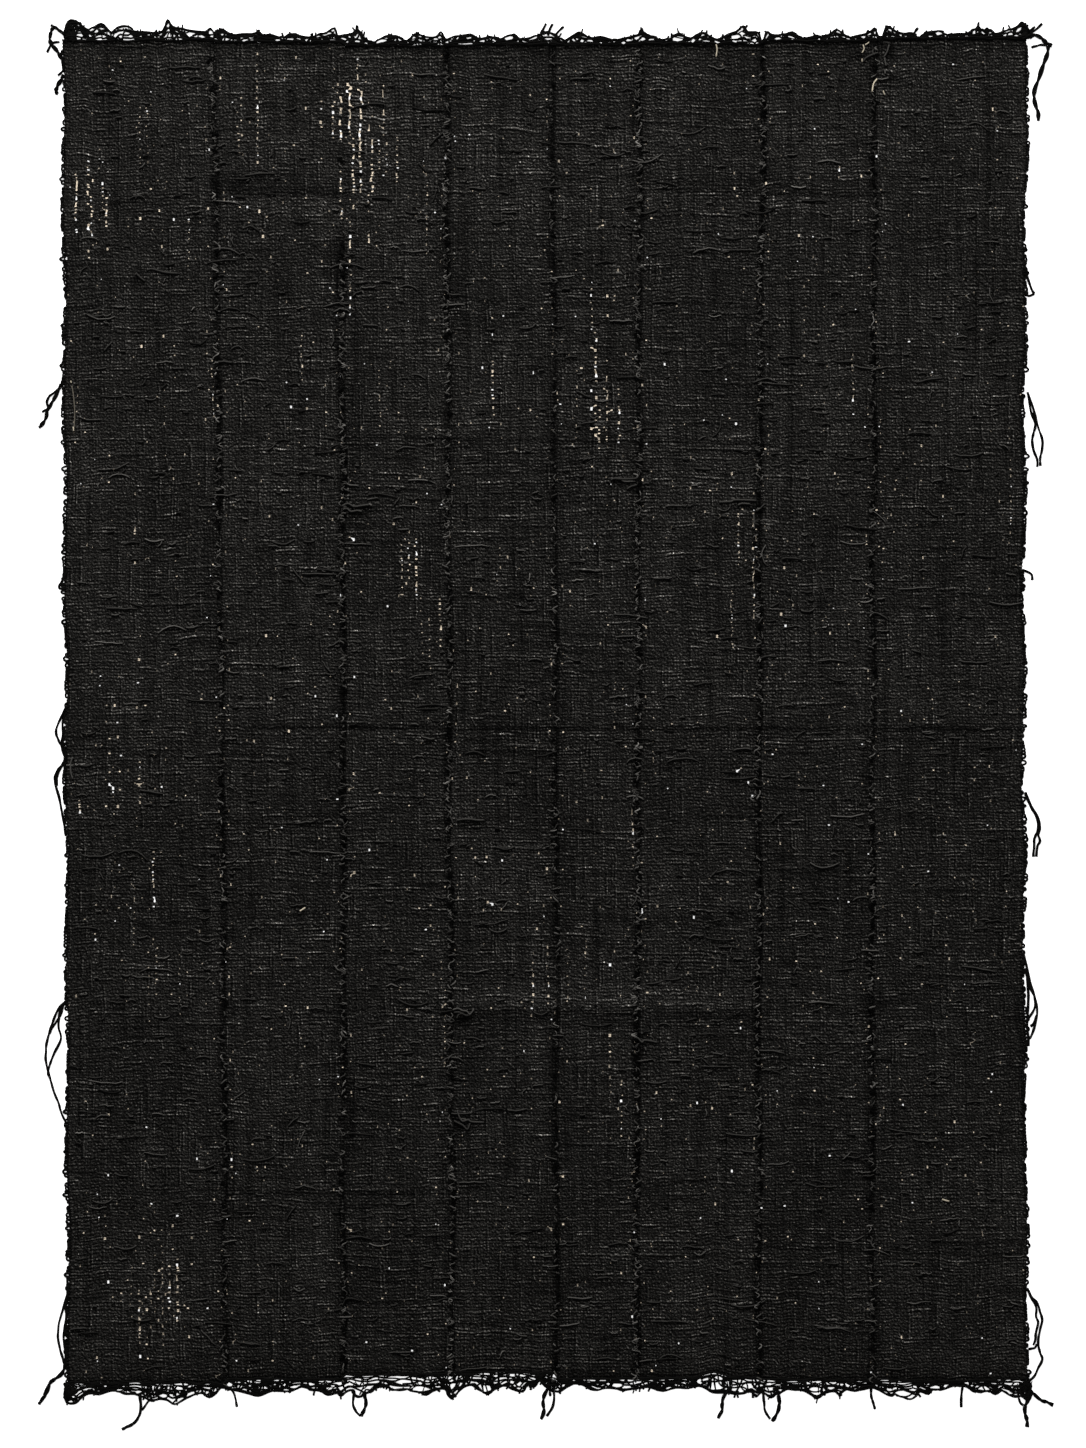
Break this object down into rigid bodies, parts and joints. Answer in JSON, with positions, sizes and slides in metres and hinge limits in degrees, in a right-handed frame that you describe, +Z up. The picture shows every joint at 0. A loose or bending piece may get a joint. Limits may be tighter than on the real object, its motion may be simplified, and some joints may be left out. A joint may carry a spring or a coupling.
{
  "type": "mud cloth",
  "caption": "Plain black mud cloth of narrow hand-woven strips sewn edge to edge, lying flat with soft pressed folds and a looped fringe at both ends.",
  "frame": {"origin": "on the surface the cloth lies on, under the middle of its box", "axes": "+Y along the strips towards the upper end, +X across the strips to the right as seen from above, +Z up through the face of the cloth"},
  "size_m": [1.1282, 1.5646, 0.0064],
  "materials": {
    "dyed_cloth": "matte hand-woven cotton, dyed black, worn thin in places",
    "dyed_yarn": "matte hand-spun cotton yarn, dyed black"
  },
  "bodies": {
    "root": {"strip_1": "dyed_cloth", "strip_2": "dyed_cloth", "strip_3": "dyed_cloth", "strip_4": "dyed_cloth", "strip_5": "dyed_cloth", "strip_6": "dyed_cloth", "strip_7": "dyed_cloth", "strip_8": "dyed_cloth", "fringe_top": "dyed_yarn", "fringe_bottom": "dyed_yarn"}
  },
  "joints": []
}
